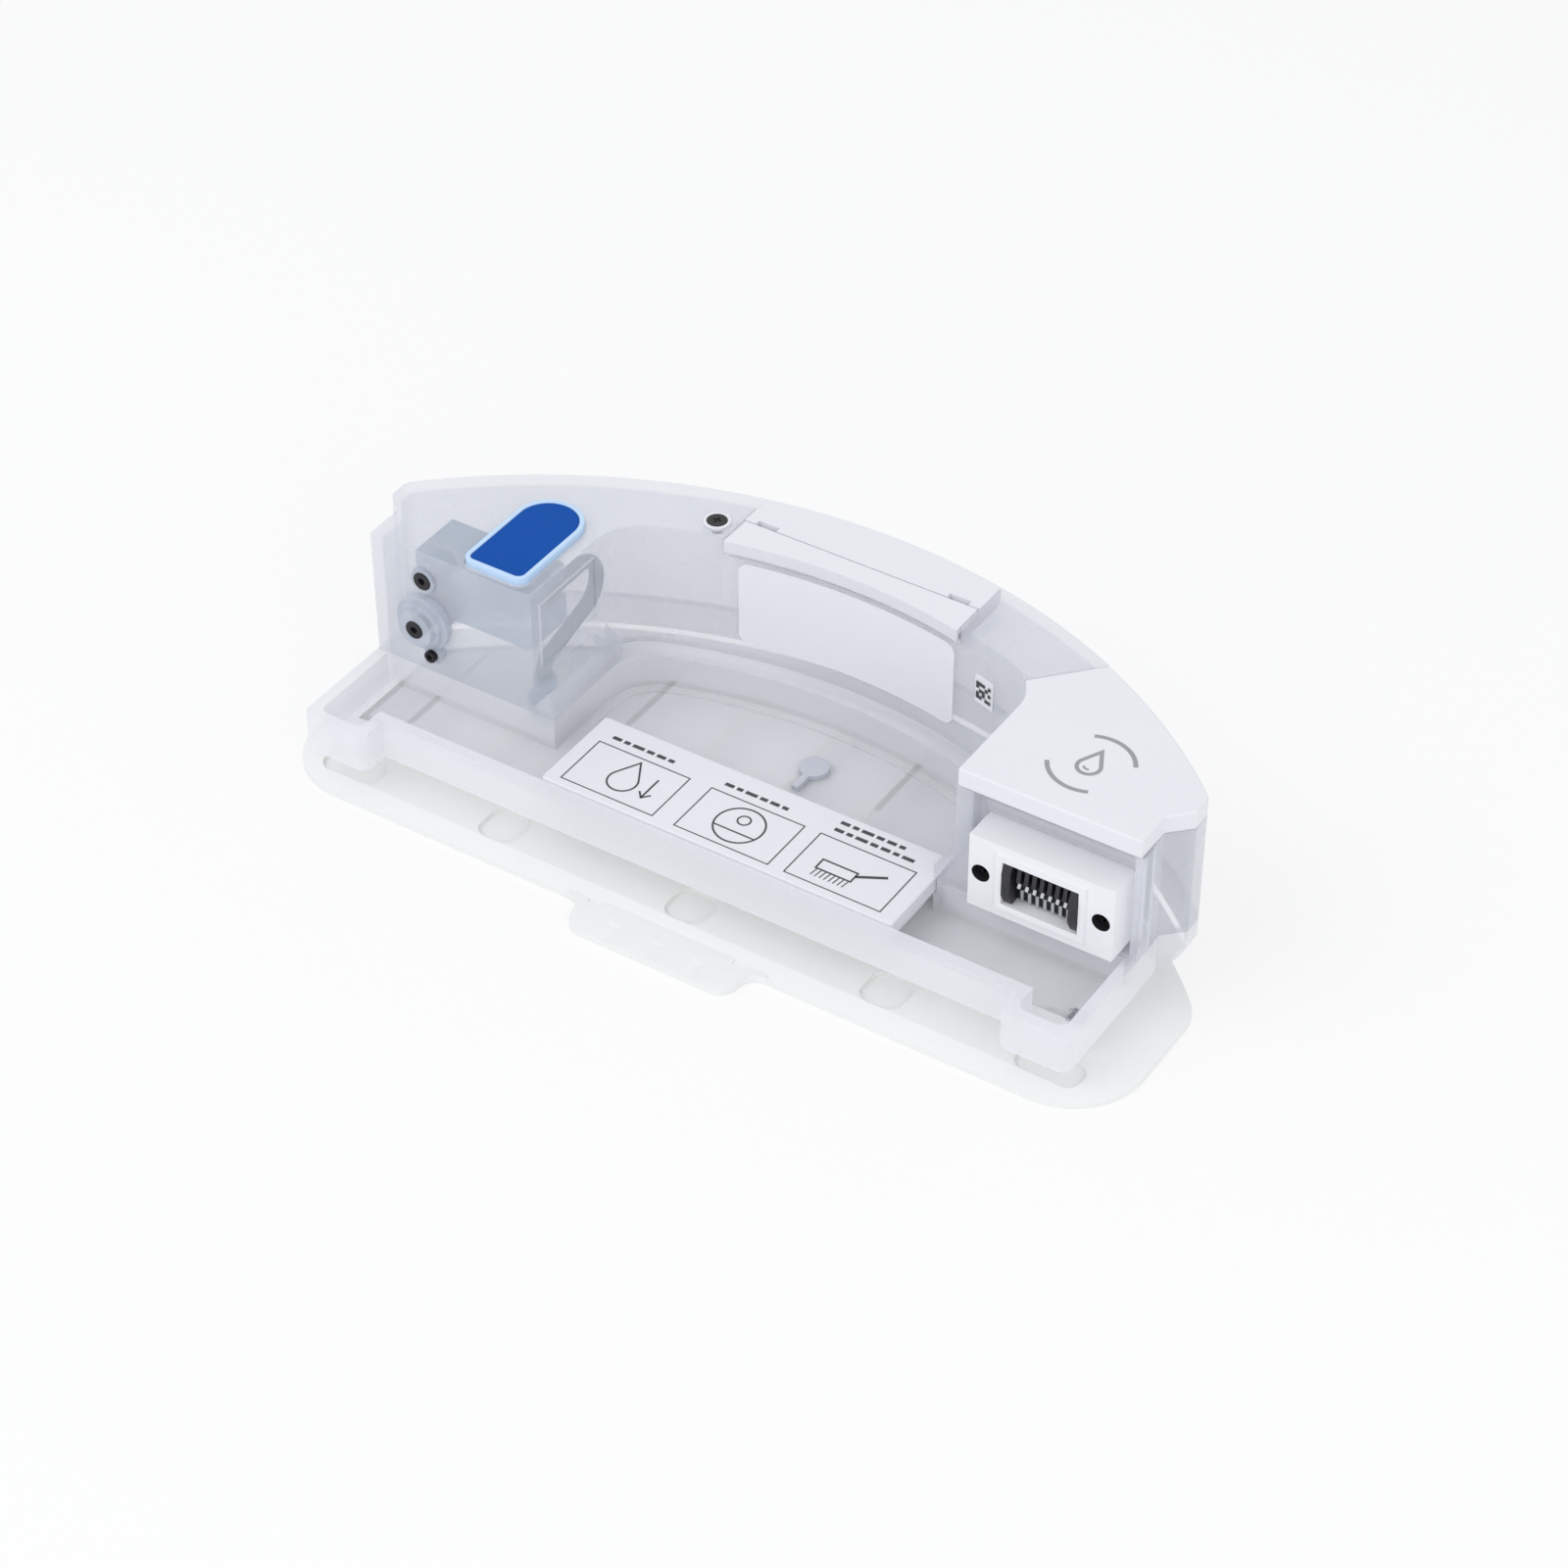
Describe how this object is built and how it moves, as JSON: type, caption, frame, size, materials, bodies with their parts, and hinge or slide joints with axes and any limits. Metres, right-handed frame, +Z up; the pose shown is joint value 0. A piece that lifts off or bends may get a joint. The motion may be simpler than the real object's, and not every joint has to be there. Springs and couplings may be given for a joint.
{
  "type": "robot vacuum water tank",
  "caption": "Crescent-shaped water tank for a round robot vacuum, with a hinged fill cap, a release flap, an electrical connector and a clip-on mop plate below.",
  "frame": {"origin": "bottom centre of the bounding box, on the ground under the mop plate", "axes": "+X to the connector side along the long way, +Y to the curved rear wall, +Z up"},
  "size_m": [0.2466, 0.114, 0.0614],
  "materials": {
    "frosted_clear": "frosted see-through",
    "plate_white": "fine satin",
    "hook_tape": "hooked tape",
    "white_plastic": "satin",
    "smoky_clear": "see-through",
    "blue_plastic": "satin",
    "soft_blue": "soft satin",
    "black_rubber": "matte",
    "black_plastic": "matte",
    "black_steel": "black oxide",
    "hose_silicone": "soft satin",
    "bright_steel": "bright",
    "board_green": "solder mask",
    "grey_plastic": "satin",
    "label_film": "satin film"
  },
  "bodies": {
    "tank": {"mop_plate": "plate_white", "hook_strips": "hook_tape", "lower_tray": "frosted_clear", "tank_shell": "frosted_clear", "label_carrier": "white_plastic", "fill_neck": "smoky_clear", "cap_anchor": "soft_blue", "upper_port": "smoky_clear", "lower_port": "smoky_clear", "port_seals": "black_rubber", "port_screw": "black_steel", "suction_hose": "hose_silicone", "hose_fitting": "hose_silicone", "intake_filter": "smoky_clear", "vent_seat": "white_plastic", "vent_plug": "black_rubber", "latch_cover": "white_plastic", "flap_pin": "bright_steel", "flap_spring": "bright_steel", "side_cover": "white_plastic", "connector_housing": "white_plastic", "connector_comb": "black_plastic", "contact_springs": "bright_steel", "connector_screws": "black_steel", "circuit_board": "board_green", "board_parts": "black_plastic", "pump_motor": "bright_steel", "pump_head": "grey_plastic", "pump_tubes": "hose_silicone", "foot_contacts": "bright_steel", "drip_outlet": "grey_plastic", "wall_label": "label_film", "code_label": "label_film"},
    "cap": {"fill_cap": "blue_plastic", "cap_soft_rim": "soft_blue"},
    "flap": {"release_flap": "white_plastic"}
  },
  "joints": [
    {"name": "cap_hinge", "type": "hinge", "parent": "tank", "child": "cap", "pos_m": [-0.0756, -0.0113, 0.0601], "axis": [1, 0, 0], "range_deg": [0, 88]},
    {"name": "flap_hinge", "type": "hinge", "parent": "tank", "child": "flap", "pos_m": [0, 0.0426, 0.0574], "axis": [1, 0, 0], "range_deg": [0, 10], "stiffness_Nm_per_rad": 0.05, "springref_deg": -5.73}
  ]
}
